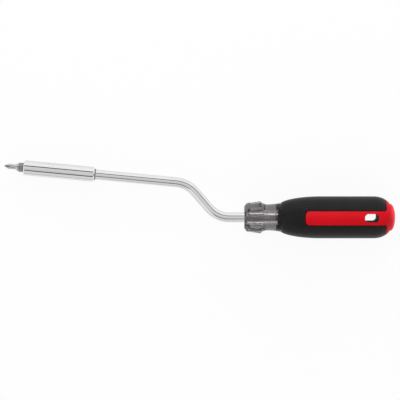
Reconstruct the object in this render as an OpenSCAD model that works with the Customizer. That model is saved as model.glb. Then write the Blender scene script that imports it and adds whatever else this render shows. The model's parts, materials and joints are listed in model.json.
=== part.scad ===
// Offset (cranked) screwdriver with a free-turning guide sleeve and a removable insert bit.
// The tool lies as it would on a bench: on its grip and on the front edge of its sleeve.
// Each piece is drawn in the tool's own axes, then laid down: X runs along the handle towards
// the butt, from the bolster's front face, and Y is the side that the crank stands off to.

/* [Shank] */
// Diameter of the steel rod
rod_d = 7.9; // [7:0.1:8.6]
// Rod between the bolster's front face and the corner of the lower bend
crank_x = 21.2; // [14:0.1:40]
// How far the corner of the upper bend stands off the handle's axis
crank_rise = 26.6; // [24:0.1:36]
// Slope of the crank's leg against the handle's axis, in degrees
crank_angle = 49.1; // [40:0.1:60]
// Bend radius next to the handle, at the rod's centreline
lower_bend_r = 21; // [12:0.5:24]
// Bend radius above the crank, at the rod's centreline
upper_bend_r = 22; // [12:0.5:26]
// Slope of the bit's axis against the handle's axis, in degrees
nose_slope = 5.45; // [2:0.05:9]
// Length from the upper bend's corner to the front face of the sleeve
nose_len = 128.1; // [100:0.1:160]
// Depth of the rod inside the handle
root_len = 74; // [60:1:84]
// Width across the flattened wings that stop the rod turning in the handle
wing_span = 13; // [10:0.5:15]
// Length of the wings
wing_len = 13; // [8:0.5:18]
// Thickness of the wings
wing_t = 3.4; // [2.5:0.1:5]
// Diameter of the stepped end that carries the bit holder
spigot_d = 5.6; // [4.5:0.1:6.5]
// Length of the stepped end
spigot_len = 9; // [6:0.5:12]
// How much the rod's radius draws in where it is bent
bend_draw = 0.02; // [0.01:0.005:0.03]
// Length of each bend's end that runs inside the straight rod
bend_lap = 0.4; // [0.2:0.05:0.6]

/* [Guide sleeve] */
// Outer diameter of the sleeve
sleeve_d = 11.7; // [11:0.1:14]
// Length of the sleeve
sleeve_len = 55.4; // [50:0.1:70]
// Wall of the sleeve
sleeve_wall = 0.8; // [0.6:0.05:1]
// Chamfer round the sleeve's front edge
front_chamfer = 0.7; // [0.3:0.05:0.75]
// Depth of the turned-in lip that closes the sleeve's rear end
lip_len = 1.4; // [1:0.1:3]
// Depth of the bevel on the lip
lip_bevel = 1; // [0.4:0.1:1]
// Width of the flat left round the lip's bore
lip_edge = 0.4; // [0.2:0.05:0.6]
// Length of each bush inside the sleeve
bush_len = 8; // [5:0.5:10]

/* [Retaining ring] */
// Thickness of the ring behind the sleeve
ring_t = 0.7; // [0.6:0.1:1.4]
// Depth of its groove in the rod
ring_groove = 0.5; // [0.3:0.05:0.7]
// How far the ring stands proud of the rod
ring_proud = 0.45; // [0.3:0.05:0.7]
// Angle of the ring's open gap, in degrees
ring_gap = 50; // [20:5:90]

/* [Bit holder] */
// Length of the holder
holder_len = 24; // [22:0.5:30]
// How far its front face lies inside the sleeve
holder_setback = 0.5; // [0.2:0.1:1.5]
// Chamfer round its front edge
holder_chamfer = 0.3; // [0.1:0.05:0.5]
// Diameter of the magnet at the foot of the socket
magnet_d = 5.8; // [4:0.1:6]
// Thickness of the magnet
magnet_t = 3; // [2:0.1:4]
// Distance of the spring clip from the holder's front face
clip_depth = 3; // [2:0.1:4]
// Thickness of the spring clip
clip_t = 0.8; // [0.5:0.05:1]
// Radial height of the spring clip
clip_h = 0.4; // [0.3:0.05:0.5]
// Angle of the clip's open gap, in degrees
clip_gap = 70; // [40:5:120]

/* [Bit] */
// Width across the flats of the hexagon
bit_af = 6.35; // [6:0.01:6.4]
// Turn of the hexagon about the bit's axis, in degrees
hexagon_turn = 39; // [24:1:40]
// Overall length of the bit
bit_len = 25; // [24:0.1:28]
// How far the bit stands out of the sleeve
bit_out = 15.2; // [15:0.1:17]
// Length of hexagon that shows in front of the sleeve
hex_out = 3.4; // [3:0.1:6]
// Chamfer on the ends of the hexagon
hex_chamfer = 0.8; // [0.2:0.05:0.8]
// Length of the turned cone between the hexagon and the neck
cone_len = 3.3; // [1.5:0.1:3.5]
// Diameter of the bit's neck
neck_d = 4.1; // [3.6:0.1:4.8]
// Diameter of the winged end
wings_d = 4.3; // [4.2:0.1:6]
// Length of the winged end, with its point
wings_len = 5.4; // [4.5:0.1:6]
// Diameter of the flat on the point
point_d = 1.3; // [1:0.1:2]
// Slope of the point's flanks against the bit's axis, in degrees
point_angle = 26.5; // [24:0.5:30]
// Distance from the bit's axis to the root of each valley at the point
valley_root = 0.55; // [0.4:0.05:0.8]
// Angle between a valley's walls, in degrees
valley_angle = 92; // [84:1:100]
// Radius of the cutter that mills the valleys
cutter_r = 8; // [6:0.5:12]

/* [Handle] */
// Overall length of the handle
handle_len = 117.6; // [112:0.1:130]
// Radius of the grip at its fullest
grip_r = 16.4; // [15:0.05:18]
// Where the grip reaches its full radius
belly_x = 59; // [50:0.5:70]
// Length over which the grip rounds off towards the butt
shoulder_len = 16.6; // [14:0.1:20]
// Thickness of the soft grip over the core
grip_wall = 4; // [3:0.1:5]
// Where the soft grip begins on the neck
grip_x = 28.7; // [25:0.1:34]
// Radius of the neck where the grip begins
grip_front_r = 11.3; // [11:0.05:12]
// Length of the tongues that the grip sends forward onto the neck
tongue_len = 2.7; // [1:0.1:4]
// Width of those tongues
tongue_w = 14; // [10:0.1:16]
// Thickness of those tongues
tongue_t = 1.2; // [0.8:0.1:2]
// Corner radius of those tongues
tongue_corner = 2; // [0.5:0.1:2.4]

/* [Bolster] */
// Radius of the bolster's front face
bolster_face_r = 8.7; // [7:0.05:9.5]
// Radius behind the front chamfer
bolster_nose_r = 11.1; // [10:0.05:11.5]
// Depth of the front chamfer
bolster_nose_len = 1.9; // [1:0.1:2.5]
// Greatest radius of the bolster
bolster_r = 12.75; // [12:0.05:13.5]
// Length of the bolster to its greatest radius
bolster_len = 12.6; // [10:0.1:14]
// Depth of the step down behind the ribs
bolster_back_len = 1.5; // [0.8:0.1:2.5]
// Radius at the foot of that step
bolster_foot_r = 11.25; // [11:0.05:11.6]
// Radius of the neck at its narrowest
neck_r = 10.25; // [9.5:0.05:10.8]
// Where the neck is narrowest
neck_x = 17.8; // [16:0.1:22]
// Number of flutes round the bolster
flute_count = 6; // [4:1:8]
// Radius of each flute
flute_r = 4.6; // [3.5:0.1:5]
// Depth of each flute below the ribs
flute_depth = 1.9; // [1:0.1:2.2]
// Where the rounded front end of each flute begins
flute_x = 2.3; // [2:0.1:4]
// Turn of the flutes from the middle of the strip, in degrees
flute_phase = 36; // [0:1:60]

/* [Strips and collar] */
// Width of the hard strip let into each face of the grip
strip_w = 11.3; // [10:0.05:13]
// Where the strips begin
strip_x = 47; // [40:0.5:60]
// Corner radius at the front of the strips
strip_corner = 3.2; // [0.5:0.1:4]
// How far the strips lie below the soft grip
strip_drop = 0.05; // [0.05:0.05:0.6]
// Fillet where each strip meets the collar
strip_fillet = 1.2; // [0.5:0.1:2]
// Length of strip over which it rises to the collar
strip_rise_len = 6; // [3:0.5:8]
// Length of collar that shows between the soft grip and the end cap
collar_len = 3.4; // [1.5:0.1:4]
// Radius of the collar's rear edge
collar_r = 10.9; // [10.6:0.05:11.5]
// Length of collar under the soft grip
collar_lap = 3.3; // [2:0.1:4]
// Radius of the core's rear end inside the collar
tail_r = 8; // [7:0.1:9]
// Length of the end cap behind the collar
cap_len = 4.3; // [3:0.1:6]
// Radius of the end cap's dome
cap_r = 10.5; // [9.8:0.05:10.6]
// Radius of the groove between collar and dome
cap_groove_r = 9.9; // [9:0.05:10.2]
// Width of that groove
cap_groove_w = 0.6; // [0.3:0.1:1]
// Radius of the cap's stem
stem_r = 5; // [3:0.1:6]
// Length of the cap's stem
stem_len = 5; // [3:0.1:6]

/* [Lanyard slot] */
// Length of the slot along the handle
slot_len = 11.1; // [8:0.1:12]
// Width of the slot
slot_w = 6.7; // [4:0.1:8]
// Distance from the slot's middle to the butt
slot_back = 19.1; // [17:0.1:20]
// Corner radius of the slot
slot_corner = 2.9; // [1:0.1:3]

/* [Fits] */
// Radial running clearance between a bush and the rod
bush_clearance = 0.05; // [0.02:0.01:0.1]
// Radial clearance between the sleeve's bore and the bit holder
holder_clearance = 0.1; // [0.08:0.01:0.2]
// Clearance on each flat between the bit and its socket
socket_clearance = 0.06; // [0.03:0.01:0.1]
// End float of the sleeve, and the gap under the lip and behind the bit
end_float = 0.1; // [0.05:0.05:0.3]
// Radial clearance between the lip and the rod
lip_clearance = 0.35; // [0.2:0.05:0.6]

/* [Hidden] */
$fn = 96;
// How far every cutting solid runs past what it cuts
over = 1;
// Steps in each curved stretch of the handle's outline
steps = 12;
// How the outline's swell and shoulder lean between a straight taper and a round arc
swell_share = 0.667;
shoulder_share = 0.78;

// Radii of the rod, its journals and the pieces that run on it
rod_r = rod_d / 2;
groove_floor_r = rod_r - ring_groove;
bush_bore_r = rod_r + bush_clearance;
lip_bore_r = rod_r + lip_clearance;
sleeve_r = sleeve_d / 2;
sleeve_bore_r = sleeve_r - sleeve_wall;
holder_r = sleeve_bore_r - holder_clearance;

// Places along the bit's axis, measured back from the sleeve's front face
holder_end = holder_setback + holder_len;
front_bush_at = holder_end + end_float;
rear_bush_at = sleeve_len - lip_len - bush_len;
ring_at = sleeve_len + end_float;
clip_at = holder_setback + clip_depth;
bit_end = bit_len - bit_out;
magnet_at = bit_end + end_float;

// A hexagon is drawn by the circle through its corners
function corner_r(flats) = flats / 2 / cos(30);
socket_r = corner_r(bit_af + 2 * socket_clearance);

// Corners, tangent lengths and leg of the cranked rod
upper_x = -crank_x - crank_rise / tan(crank_angle);
upper_turn = crank_angle - nose_slope;
lower_tangent = lower_bend_r * tan(crank_angle / 2);
upper_tangent = upper_bend_r * tan(upper_turn / 2);
leg_len = crank_rise / sin(crank_angle) - lower_tangent - upper_tangent;
root_x = lower_tangent - crank_x;

// How the tool lies: its roll, and the middle of its outline
nose_x = upper_x - nose_len * cos(nose_slope);
nose_y = crank_rise + nose_len * sin(nose_slope);
edge_y = nose_y - front_chamfer * sin(nose_slope);
roll = asin((grip_r - sleeve_r) / edge_y);
mid_x = (nose_x - bit_out * cos(nose_slope) + handle_len) / 2;
mid_y = (edge_y * cos(roll) + sleeve_r - grip_r) / 2;

// Places along the handle that are measured from its butt
collar_end = handle_len - cap_len;
grip_end = collar_end - collar_len;
collar_front = grip_end - collar_lap;
shoulder_x = handle_len - shoulder_len;
slot_x = handle_len - slot_back;
bolster_end = bolster_len + bolster_back_len;

// Radius of the handle's outline at a place along its axis
function bow(x, end_x, end_r) = neck_r + (end_r - neck_r) * pow((x - neck_x) / (end_x - neck_x), 2);
function swell(x) = pow(1 - pow((belly_x - x) / (belly_x - grip_x), 2), swell_share);
function shoulder(x) = pow(1 - pow((x - shoulder_x) / (collar_end - shoulder_x), 2), shoulder_share);
function skin_at(x) =
  x < neck_x ? bow(x, bolster_end, bolster_foot_r) :
  x < grip_x ? bow(x, grip_x, grip_front_r) :
  x < belly_x ? grip_front_r + (grip_r - grip_front_r) * swell(x) :
  x < shoulder_x ? grip_r :
  collar_r + (grip_r - collar_r) * shoulder(min(x, collar_end));

// Even places between two ends, and the outline over places at a depth below the skin
function places(from, to) = [for (i = [0:steps]) from + (to - from) * i / steps];
function skin(list, depth) = [for (x = list) [skin_at(x) - depth, x]];
function backwards(list) = [for (i = [len(list) - 1:-1:0]) list[i]];
core_places = concat(places(grip_x, belly_x), places(shoulder_x, collar_front));
grip_places = concat(core_places, places(collar_front, grip_end));

// The strips sink below the grip, and rise to meet the collar
function sunk(x) = strip_drop * min(1, (grip_end - x) / strip_rise_len);

// Lays what is drawn in the tool's axes on the bench
module lay_down() {
  translate([-mid_x, -mid_y, grip_r]) rotate([-roll, 0, 0]) children();
}

// Turns what is drawn along Z onto the bit's axis, from the sleeve's front face backwards
module on_nose() {
  translate([nose_x, nose_y, 0]) rotate([0, 90, -nose_slope]) children();
}

// A solid turned about the handle's axis from [radius, place] points
module turned(points) {
  rotate([0, 90, 0]) rotate_extrude() polygon(points);
}

// A solid turned about the bit's axis from [radius, place] points
module turned_on_nose(points) {
  on_nose() rotate_extrude() polygon(points);
}

// A plain ring about the bit's axis
module nose_ring(at, len, in_r, out_r) {
  turned_on_nose([[in_r, at], [out_r, at], [out_r, at + len], [in_r, at + len]]);
}

// An open ring about the bit's axis, with its gap turned away from the handle's upper face
module open_ring(at, len, in_r, out_r, gap) {
  on_nose() rotate([0, 0, gap / 2]) rotate_extrude(angle = 360 - gap)
    translate([in_r, at]) square([out_r - in_r, len]);
}

// A hexagonal bar along the bit's axis
module hexagon(at, len, r) {
  on_nose() rotate([0, 0, hexagon_turn]) translate([0, 0, at]) cylinder(h = len, r = r, $fn = 6);
}

// A rectangle with round corners, from its middle
module rounded(size, corner) {
  square([size.x - 2 * corner, size.y], center = true);
  square([size.x, size.y - 2 * corner], center = true);
  for (sx = [-1, 1], sy = [-1, 1])
    translate([sx * (size.x / 2 - corner), sy * (size.y / 2 - corner)]) circle(corner);
}

// Runs an outline drawn in plan right through the handle
module through() {
  translate([0, 0, -grip_r - over]) linear_extrude(2 * (grip_r + over)) children();
}

// A straight length of rod from a point in the plane of the bends
module straight(at, angle, len) {
  translate([at.x, at.y, 0]) rotate([0, 90, angle]) cylinder(h = len, r = rod_r);
}

// A bend of the rod about a centre in the plane of the bends
module bend(centre, r, start, turn) {
  lap = asin(bend_lap / r);
  translate([centre.x, centre.y, 0]) rotate([0, 0, start - lap]) rotate_extrude(angle = turn + 2 * lap)
    translate([r, 0]) circle(rod_r - bend_draw);
}

// The end of the rod that the handle is moulded round, with its two wings
module root() {
  straight([root_x, 0], 0, root_len - root_x);
  translate([root_len - 1.5 * wing_len, -wing_span / 2, -wing_t / 2]) cube([wing_len, wing_span, wing_t]);
}

// The cranked rod in one piece, grooved for the sleeve's ring and stepped down for the bit holder
module shank() {
  leg_x = -crank_x - lower_tangent * cos(crank_angle);
  leg_y = lower_tangent * sin(crank_angle);
  top_x = leg_x - leg_len * cos(crank_angle);
  top_y = leg_y + leg_len * sin(crank_angle);
  color([0.86, 0.87, 0.88]) lay_down() difference() {
    union() {
      root();
      bend([root_x, lower_bend_r], lower_bend_r, -90 - crank_angle, crank_angle);
      straight([leg_x, leg_y], 180 - crank_angle, leg_len);
      bend(
        [top_x - upper_bend_r * sin(crank_angle), top_y - upper_bend_r * cos(crank_angle)],
        upper_bend_r, 90 - crank_angle, upper_turn
      );
      on_nose() {
        translate([0, 0, holder_end]) cylinder(h = nose_len - upper_tangent - holder_end, r = rod_r);
        translate([0, 0, holder_end - spigot_len]) cylinder(h = spigot_len, d = spigot_d);
      }
    }
    nose_ring(ring_at, ring_t, groove_floor_r, rod_r + over);
  }
}

// The socket pressed onto the rod: a hexagon in front, the magnet at its foot, a groove for the clip
module bit_holder() {
  color([0.55, 0.56, 0.57]) lay_down() difference() {
    turned_on_nose([
      [0, holder_setback], [holder_r - holder_chamfer, holder_setback],
      [holder_r, holder_setback + holder_chamfer], [holder_r, holder_end], [0, holder_end]
    ]);
    hexagon(-over, magnet_at + over, socket_r);
    nose_ring(clip_at, clip_t, 0, socket_r + clip_h);
    on_nose() {
      translate([0, 0, magnet_at - over]) cylinder(h = magnet_t + over, d = magnet_d);
      translate([0, 0, holder_end - spigot_len]) cylinder(h = spigot_len + over, d = spigot_d);
    }
  }
}

module holder_magnet() {
  color([0.5, 0.5, 0.52]) lay_down() on_nose()
    translate([0, 0, magnet_at]) cylinder(h = magnet_t, d = magnet_d);
}

module bit_clip() {
  color([0.45, 0.45, 0.46]) lay_down()
    open_ring(clip_at, clip_t, socket_r, socket_r + clip_h, clip_gap);
}

module sleeve_ring() {
  color([0.2, 0.2, 0.21]) lay_down()
    open_ring(ring_at, ring_t, groove_floor_r, rod_r + ring_proud, ring_gap);
}

// One flute of the bolster, over the upper face: a round-nosed cutter that follows the ribs' slope
module flute() {
  slope = atan((bolster_r - bolster_nose_r) / (bolster_len - bolster_nose_len));
  cutter_out = bolster_nose_r - flute_depth + flute_r;
  nose_in = sqrt(pow(flute_r, 2) - pow(flute_r - flute_depth, 2));
  translate([flute_x + nose_in, 0, cutter_out]) rotate([0, 90 - slope, 0]) {
    cylinder(h = bolster_end, r = flute_r);
    sphere(flute_r);
  }
}

// The tongues of the grip that lie in the neck, or, standing out of it, the recesses for them
module tongues(stand_out) {
  stretch = places(grip_x - tongue_len, grip_x);
  intersection() {
    through() translate([grip_x, 0]) rounded([2 * tongue_len, tongue_w], tongue_corner);
    turned(concat(skin(stretch, -stand_out), backwards(skin(stretch, tongue_t))));
  }
}

// The slot right through the handle for a lanyard
module lanyard_cut() {
  through() translate([slot_x, 0]) rounded([slot_len, slot_w], slot_corner);
}

// Bolster, neck and the body under the grip, moulded round the rod in one piece
module handle_core() {
  color([0.42, 0.41, 0.42, 0.75]) lay_down() difference() {
    turned(concat(
      [[0, 0], [bolster_face_r, 0], [bolster_nose_r, bolster_nose_len], [bolster_r, bolster_len]],
      skin(places(bolster_end, neck_x), 0),
      skin(places(neck_x, grip_x), 0),
      skin(core_places, grip_wall),
      [[tail_r, collar_front], [tail_r, collar_end], [0, collar_end]]
    ));
    for (i = [1:flute_count]) rotate([flute_phase + i * 360 / flute_count, 0, 0]) flute();
    tongues(over);
    root();
    lanyard_cut();
    translate([collar_end - stem_len, 0, 0]) rotate([0, 90, 0]) cylinder(h = stem_len + over, r = stem_r);
  }
}

// Plan of the two strips, which run into the collar with a fillet on each side
module strip_plan() {
  front_len = grip_end - strip_x;
  translate([strip_x + front_len, 0]) intersection() {
    rounded([2 * front_len, strip_w], strip_corner);
    translate([-front_len, -strip_w / 2]) square([front_len, strip_w]);
  }
  for (side = [-1, 1]) translate([grip_end, side * strip_w / 2]) difference() {
    translate([-strip_fillet, min(0, side * strip_fillet)]) square(strip_fillet);
    translate([-strip_fillet, side * strip_fillet]) circle(strip_fillet);
  }
}

// The rubber round the core, open where the strips lie
module soft_grip() {
  color([0.14, 0.14, 0.14]) lay_down() {
    difference() {
      turned(concat(skin(grip_places, 0), backwards(skin(grip_places, grip_wall))));
      through() strip_plan();
    }
    tongues(0);
  }
}

// One hard moulding: a strip on each face, joined by the collar at the butt
module strips_and_collar() {
  strip_skin = [for (x = grip_places) [skin_at(x) - sunk(x), x]];
  color([0.8, 0.08, 0.13]) lay_down() difference() {
    union() {
      intersection() {
        through() strip_plan();
        turned(concat(strip_skin, backwards(skin(grip_places, grip_wall))));
      }
      turned(concat(
        [[tail_r, collar_front]],
        skin(places(collar_front, grip_end), grip_wall),
        skin(places(grip_end, collar_end), 0),
        [[tail_r, collar_end]]
      ));
    }
    lanyard_cut();
  }
}

// The domed cap that closes the butt, pressed into the core by its stem
module end_cap() {
  dome_x = collar_end + cap_groove_w;
  dome_len = cap_len - cap_groove_w;
  quarter = places(0, 90);
  dome = [for (a = quarter) [cap_r * cos(a), dome_x + dome_len * sin(a)]];
  color([0.83, 0.1, 0.16]) lay_down() turned(concat(
    [
      [0, collar_end - stem_len], [stem_r, collar_end - stem_len], [stem_r, collar_end],
      [cap_groove_r, collar_end], [cap_groove_r, dome_x]
    ],
    dome
  ));
}

// The tube that the fingers hold still while the crank turns inside it
module guide_sleeve() {
  color([0.88, 0.88, 0.89]) lay_down() turned_on_nose([
    [sleeve_bore_r, 0], [sleeve_r - front_chamfer, 0], [sleeve_r, front_chamfer],
    [sleeve_r, sleeve_len - lip_bevel], [lip_bore_r + lip_edge, sleeve_len],
    [lip_bore_r, sleeve_len], [lip_bore_r, sleeve_len - lip_len], [sleeve_bore_r, sleeve_len - lip_len]
  ]);
}

module front_bush() {
  color([0.72, 0.55, 0.3]) lay_down() nose_ring(front_bush_at, bush_len, bush_bore_r, sleeve_bore_r);
}

module rear_bush() {
  color([0.72, 0.55, 0.3]) lay_down() nose_ring(rear_bush_at, bush_len, bush_bore_r, sleeve_bore_r);
}

// A wheel with a V edge, as the valleys of a cross-head point are milled
module valley_cutter() {
  half_t = wings_d;
  side_r = cutter_r - half_t / tan(valley_angle / 2);
  translate([valley_root + cutter_r, 0, -bit_out]) rotate([90, 0, 0])
    for (side = [0, 1]) mirror([0, 0, side]) cylinder(h = half_t, r1 = cutter_r, r2 = side_r);
}

// The insert bit: one turned outline cut to a hexagon, with four valleys milled at its point
module bit() {
  flank_len = (wings_d - point_d) / 2 / tan(point_angle);
  wings_end = wings_len - bit_out;
  step_len = (wings_d - neck_d) / 2;
  bar_r = corner_r(bit_af);
  color([0.5, 0.49, 0.48]) lay_down() difference() {
    intersection() {
      turned_on_nose([
        [0, -bit_out], [point_d / 2, -bit_out], [wings_d / 2, flank_len - bit_out],
        [wings_d / 2, wings_end], [neck_d / 2, wings_end + step_len],
        [neck_d / 2, -hex_out - cone_len], [bar_r, -hex_out],
        [bar_r, bit_end - hex_chamfer], [bar_r - hex_chamfer, bit_end], [0, bit_end]
      ]);
      hexagon(-bit_out - over, bit_len + 2 * over, bar_r);
    }
    on_nose() for (i = [0:3]) rotate([0, 0, i * 90]) valley_cutter();
  }
}

shank();
bit_holder();
holder_magnet();
bit_clip();
sleeve_ring();
handle_core();
soft_grip();
strips_and_collar();
end_cap();
guide_sleeve();
front_bush();
rear_bush();
bit();
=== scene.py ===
"""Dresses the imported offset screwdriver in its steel, clear plastic, rubber and red, and sets the stage."""

import json
import math

import bmesh
import bpy
from mathutils import Matrix, Vector

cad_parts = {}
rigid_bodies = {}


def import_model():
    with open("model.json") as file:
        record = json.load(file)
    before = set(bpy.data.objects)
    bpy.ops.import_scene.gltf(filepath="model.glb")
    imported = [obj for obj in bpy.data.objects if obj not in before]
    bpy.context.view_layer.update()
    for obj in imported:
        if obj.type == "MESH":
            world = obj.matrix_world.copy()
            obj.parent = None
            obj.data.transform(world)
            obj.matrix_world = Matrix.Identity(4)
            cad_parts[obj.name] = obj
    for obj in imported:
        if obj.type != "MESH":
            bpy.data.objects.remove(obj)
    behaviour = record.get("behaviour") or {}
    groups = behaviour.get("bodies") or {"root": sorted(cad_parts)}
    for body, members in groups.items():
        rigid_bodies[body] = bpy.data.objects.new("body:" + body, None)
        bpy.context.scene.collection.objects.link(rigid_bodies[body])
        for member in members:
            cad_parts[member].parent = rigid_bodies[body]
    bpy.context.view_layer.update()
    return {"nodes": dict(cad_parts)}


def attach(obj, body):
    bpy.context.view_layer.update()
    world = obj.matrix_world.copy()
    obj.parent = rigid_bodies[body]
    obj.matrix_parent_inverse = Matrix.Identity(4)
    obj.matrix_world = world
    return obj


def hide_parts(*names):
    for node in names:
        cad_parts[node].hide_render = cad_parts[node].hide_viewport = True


bl_info = {
    "name": "Offset Screwdriver",
    "version": (1, 0, 0),
    "blender": (4, 5, 0),
    "location": "3D View > Sidebar > Screwdriver",
    "description": "Builds the visible pieces of a cranked screwdriver round its CAD frame",
    "category": "Add Mesh",
}

# Blender's own first objects go before the frame comes in
for leftover in list(bpy.data.objects):
    bpy.data.objects.remove(leftover)

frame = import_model()

MM = 0.001
# How far an opaque piece sinks into the clear plastic, so that light passes straight between the two
SUNK = 0.03 * MM
# The hair of air between the rod and the plastic that was moulded round it
GAP = 0.03 * MM
# How far a cutter, or a blank that is cut to its length, reaches past the cut
PAST = 1 * MM
# Length of the core's thin tail in the collar
TAIL = 3 * MM
# How far the rubber's blank runs on to where the strips' plan cuts it off
OVERRUN = 0.5 * MM
# Length of a flute's cutter, from its middle to past the bolster's back
FLUTE_REACH = 18 * MM
# The length over which the rod's chrome gives way to bare steel at the handle
PLATING_FADE = 0.3 * MM
# Points closer than this are merged after a spin, and after a cut
SPIN_MERGE = 1e-7
CUT_MERGE = 2e-6
# Edges that turn by more degrees than this stay sharp
SHARP_ANGLE = 32
# Faces round a full turn of each kind of piece and cutter, along a bend and round a corner
MOULDING_STEPS = 192
TURNED_STEPS = 160
BORE_STEPS = 96
ROD_STEPS = 96
FLUTE_STEPS = 64
BEND_STEPS = 36
CORNER_STEPS = 10
# Flutes round the bolster
FLUTES = 6
# Powers of the grip's outline: 0.5 would draw an ellipse and 1 a parabola
FRONT_POWER = 0.667
BUTT_POWER = 0.78
# The stretch of a noise's values that is spread over the whole range of its effect
NOISE_SPAN = (0.3, 0.7)
# The small pieces that keep their CAD shape: material, colour, lowest and highest roughness, grain's scale
SMALL_METALS = {
    "bit_holder": ("holder_steel", (0.45, 0.45, 0.46), 0.25, 0.35, 600),
    "holder_magnet": ("magnet_nickel", (0.6, 0.58, 0.54), 0.2, 0.3, 500),
    "bit_clip": ("spring_steel", (0.30, 0.30, 0.32), 0.25, 0.35, 700),
    # The sleeve ring is dark steel, which also paints the shadow in the gap behind the sleeve
    "sleeve_ring": ("black_steel", (0.2, 0.2, 0.205), 0.3, 0.45, 800),
    "front_bush": ("bush_bronze", (0.55, 0.35, 0.16), 0.3, 0.4, 700),
    "rear_bush": ("bush_bronze", (0.55, 0.35, 0.16), 0.3, 0.4, 700),
}
# Greys of the studio round the tool: degrees across it from straight above, and how bright it is there
SEAM_BANDS = (
    (-180, 0.85), (-140, 0.85), (-112, 0.80), (-104, 0.56), (-92, 0.56), (-82, 0.74), (-46, 0.74),
    (-42, 0.08), (-32, 0.08), (-28, 0.56), (-15, 0.65), (0, 0.70), (27, 0.72), (30, 0.06), (40, 0.06),
    (44, 0.97), (80, 0.97), (110, 0.90), (125, 0.76), (140, 0.74), (180, 0.85),
)
# The same where the studio leans well towards the bit's end, which the crank's sloping leg shows
SIDE_BANDS = (
    (-180, 0.85), (-120, 0.83), (-104, 0.74), (-93, 0.70), (-75, 0.78), (-62, 0.86), (-52, 1.0),
    (-43, 1.0), (-36, 0.88), (-27, 0.72), (-15, 0.66), (0, 0.70), (25, 0.72), (28, 0.03), (42, 0.03),
    (46, 0.97), (80, 0.97), (110, 0.90), (125, 0.76), (140, 0.74), (180, 0.85),
)
# That lean, as a direction's part along the tool, where the second greys start and where they rule
SIDE_FROM, SIDE_FULL = -0.34, -0.41
# How much of its own white light the floor shows to each kind of ray; the rest is its lit grey
FLOOR_WHITE = (("Is Camera Ray", 0.92), ("Is Glossy Ray", 0.4), ("Is Transmission Ray", 0.3))
FLOOR_GREY = 0.7
# Half the floor's width and the depth of the view in metres, and the camera's sensor in millimetres
FLOOR_HALF = 3
VIEW_DEPTH = 10
SENSOR_WIDTH = 36
# The lamps: name, place, aim, length, height, watts, and whether the clear plastic shows it
LAMPS = (
    ("key_soft", (-0.1, 0.9, 0.9), (0.1, 0, 0), 1.2, 1.2, 9, False),
    ("fill_soft", (0.2, -1.0, 0.8), (0, 0, 0), 1.2, 1.2, 4, False),
    ("strip_soft", (0, 1.25, 0.3), (0, 0, 0), 2.4, 0.3, 16, True),
    ("rim_soft", (0, -1.25, 0.3), (0, 0, 0), 2.4, 0.15, 7, True),
)


def length(name, millimetres, description):
    """A length that a user may change, given in millimetres and kept in metres."""
    return bpy.props.FloatProperty(
        name=name, description=description, default=millimetres * MM, unit="LENGTH", precision=5
    )


def angle(name, degrees, description):
    return bpy.props.FloatProperty(
        name=name, description=description, default=math.radians(degrees), subtype="ANGLE"
    )


def colour(name, red, green, blue, description):
    return bpy.props.FloatVectorProperty(
        name=name, description=description, default=(red, green, blue), subtype="COLOR", min=0, max=1
    )


class ScrewdriverRod(bpy.types.PropertyGroup):
    """Sizes of the cranked rod and of the bit that it carries"""

    rod_d: length("Rod diameter", 7.9, "Diameter of the cranked rod")
    crank_x: length("Crank start", 21.2, "Rod from the bolster to the lower bend's corner")
    crank_rise: length("Crank rise", 26.6, "How far the upper bend's corner stands off the handle's axis")
    crank_angle: angle("Crank angle", 49.1, "Slope of the crank's leg")
    lower_bend_r: length("Lower bend", 21, "Bend radius next to the handle")
    upper_bend_r: length("Upper bend", 22, "Bend radius above the crank")
    nose_slope: angle("Nose slope", 5.45, "Slope of the bit's axis against the handle's")
    nose_len: length("Nose length", 128.1, "From the upper bend's corner to the sleeve's front face")
    root_len: length("Root length", 74, "Depth of the rod in the handle")
    wing_span: length("Wing span", 13, "Width across the flattened wings in the handle")
    wing_len: length("Wing length", 13, "Length of those wings")
    wing_t: length("Wing thickness", 3.4, "Thickness of those wings")
    spigot_d: length("Spigot diameter", 5.6, "Diameter of the stepped end")
    spigot_len: length("Spigot length", 9, "Length of the stepped end")
    holder_end: length("Holder end", 24.5, "Where the bit holder ends behind the sleeve's front face")
    bit_out: length("Bit stand-out", 15.2, "How far the bit stands out of the sleeve")
    cone_len: length("Bit cone", 3.3, "Length of the cone in front of the bit's hexagon")
    point_len: length("Bit point", 8.5, "Length of the bit in front of that cone")
    point_r: length("Bit tip", 0.65, "Radius of the flat at the bit's tip")
    wings_r: length("Bit wings", 2.15, "Radius of the bit's wings")


class ScrewdriverSleeve(bpy.types.PropertyGroup):
    """Sizes of the guide sleeve"""

    sleeve_d: length("Sleeve diameter", 11.7, "Outer diameter of the sleeve")
    sleeve_len: length("Sleeve length", 55.4, "Length of the sleeve")
    sleeve_wall: length("Sleeve wall", 0.8, "Thickness of the sleeve's wall")
    front_chamfer: length("Front chamfer", 0.7, "Chamfer of the front edge")
    lip_len: length("Lip length", 1.4, "Depth of the turned-in lip")
    lip_bevel: length("Lip bevel", 1.0, "Depth of the bevel on the lip")
    lip_bore_r: length("Lip bore", 4.3, "Radius of the lip's bore")
    lip_edge: length("Lip edge", 0.4, "Flat left round the lip's bore")


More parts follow.
